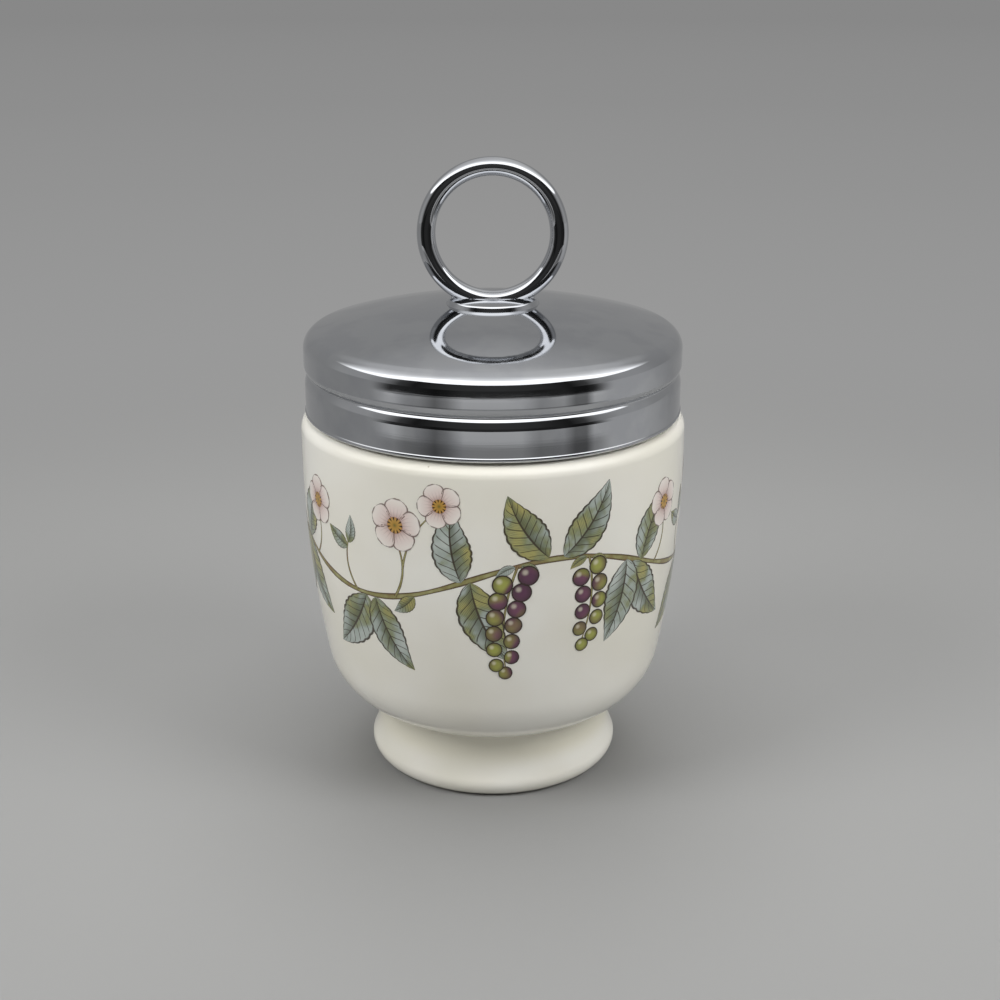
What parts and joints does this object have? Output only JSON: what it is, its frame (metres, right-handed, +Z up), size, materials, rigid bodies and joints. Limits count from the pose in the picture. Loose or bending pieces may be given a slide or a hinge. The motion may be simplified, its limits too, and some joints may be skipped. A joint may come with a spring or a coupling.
{
  "type": "egg coddler",
  "caption": "Footed porcelain cup with a threaded neck, closed by a screw-on metal lid that a ring handle lifts, for cooking an egg in hot water.",
  "frame": {"origin": "centre of the foot's standing face, on the table", "axes": "+Z up along the axis of the cup and lid, the ring handle in the XZ plane, front on the -Y side"},
  "size_m": [0.0652, 0.0652, 0.1054],
  "materials": {
    "porcelain": "opaque glazed porcelain, glossy, bare on the standing ring",
    "chrome": "polished chrome plate",
    "plated_steel": "dull tin plate",
    "seal_rubber": "matt pale rubber"
  },
  "bodies": {
    "cup": {"cup": "porcelain"},
    "seal": {"seal_ring": "seal_rubber"},
    "lid": {"lid_shell": "chrome", "thread_band": "plated_steel", "ring_handle": "chrome", "ring_collar": "chrome", "handle_rivet": "plated_steel", "rivet_washer": "plated_steel"}
  },
  "joints": [
    {"name": "lid_rise", "type": "slide", "parent": "cup", "child": "seal", "axis": [0, 0, 1], "range_m": [0, 0.0136]},
    {"name": "lid_turn", "type": "hinge", "parent": "seal", "child": "lid", "pos_m": [0, 0, 0.0635], "axis": [0, 0, 1], "range_deg": [0, 1080]}
  ],
  "couplings": [
    {"joint": "lid_rise", "follows": "lid_turn", "m_per_rad": 0.0007162}
  ]
}
